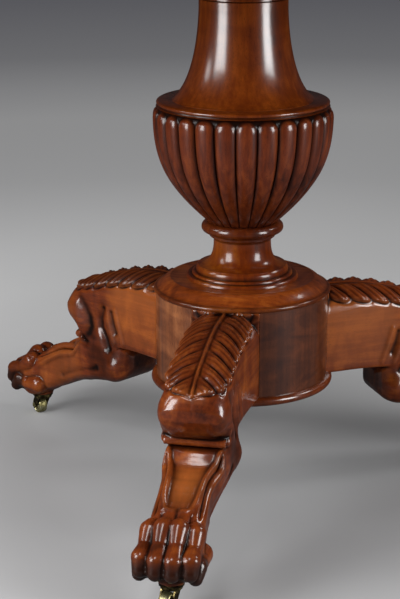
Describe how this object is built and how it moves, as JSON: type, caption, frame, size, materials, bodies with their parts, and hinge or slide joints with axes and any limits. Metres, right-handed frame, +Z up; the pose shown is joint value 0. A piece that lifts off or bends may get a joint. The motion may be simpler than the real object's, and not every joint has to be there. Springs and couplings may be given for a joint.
{
  "type": "gueridon",
  "caption": "Round pedestal table: turned column with a gadrooned cup on a veneered drum, carved cabriole legs with lion-paw feet on swivelling brass casters.",
  "frame": {"origin": "on the floor, on the column's axis", "axes": "+Z up along the column, -Y out along one of the legs"},
  "size_m": [1.05, 1.05, 0.75],
  "materials": {
    "mahogany": "French-polished gloss",
    "figured_veneer": "French-polished gloss over crotch veneer",
    "secondary_wood": "plain planed and stained",
    "iron": "dark, lightly rusted",
    "brass": "worn satin"
  },
  "bodies": {
    "stand": {"top_panel": "mahogany", "top_lipping": "figured_veneer", "bearer_front": "secondary_wood", "bearer_back": "secondary_wood", "top_screws": "iron", "pillar_block": "mahogany", "block_screws": "iron", "column_shaft": "mahogany", "cup_rim": "mahogany", "gadrooned_cup": "mahogany", "torus_collar": "mahogany", "socle": "mahogany", "step_ring": "mahogany", "drum_cap": "mahogany", "drum_core": "secondary_wood", "drum_base": "mahogany", "drum_panel_left": "figured_veneer", "drum_panel_right": "figured_veneer", "drum_panel_back": "figured_veneer", "base_screws": "iron", "iron_strap": "iron", "strap_screws": "iron", "tie_rod": "iron", "upper_washer": "iron", "upper_nut": "iron", "lower_washer": "iron", "lower_nut": "iron", "leg_front": "mahogany", "leg_right": "mahogany", "leg_left": "mahogany", "caster_plate_front": "brass", "caster_plate_right": "brass", "caster_plate_left": "brass", "caster_screws": "brass"},
    "caster_front": {"caster_horn_front": "brass", "caster_axle_front": "brass"},
    "caster_right": {"caster_horn_right": "brass", "caster_axle_right": "brass"},
    "caster_left": {"caster_horn_left": "brass", "caster_axle_left": "brass"},
    "wheel_front": {"caster_wheel_front": "brass"},
    "wheel_right": {"caster_wheel_right": "brass"},
    "wheel_left": {"caster_wheel_left": "brass"}
  },
  "joints": [
    {"name": "swivel_front", "type": "hinge", "parent": "stand", "child": "caster_front", "pos_m": [0, -0.393, 0.0295], "axis": [0, 0, 1], "continuous": true},
    {"name": "swivel_right", "type": "hinge", "parent": "stand", "child": "caster_right", "pos_m": [0.34035, 0.1965, 0.0295], "axis": [0, 0, 1], "continuous": true},
    {"name": "swivel_left", "type": "hinge", "parent": "stand", "child": "caster_left", "pos_m": [-0.34035, 0.1965, 0.0295], "axis": [0, 0, 1], "continuous": true},
    {"name": "roll_front", "type": "hinge", "parent": "caster_front", "child": "wheel_front", "pos_m": [-0.00259, -0.40266, 0.0125], "axis": [0.9659, -0.2588, 0], "continuous": true},
    {"name": "roll_right", "type": "hinge", "parent": "caster_right", "child": "wheel_right", "pos_m": [0.35001, 0.19909, 0.0125], "axis": [-0.2588, 0.9659, 0], "continuous": true},
    {"name": "roll_left", "type": "hinge", "parent": "caster_left", "child": "wheel_left", "pos_m": [-0.34742, 0.20357, 0.0125], "axis": [-0.7071, -0.7071, 0], "continuous": true}
  ]
}
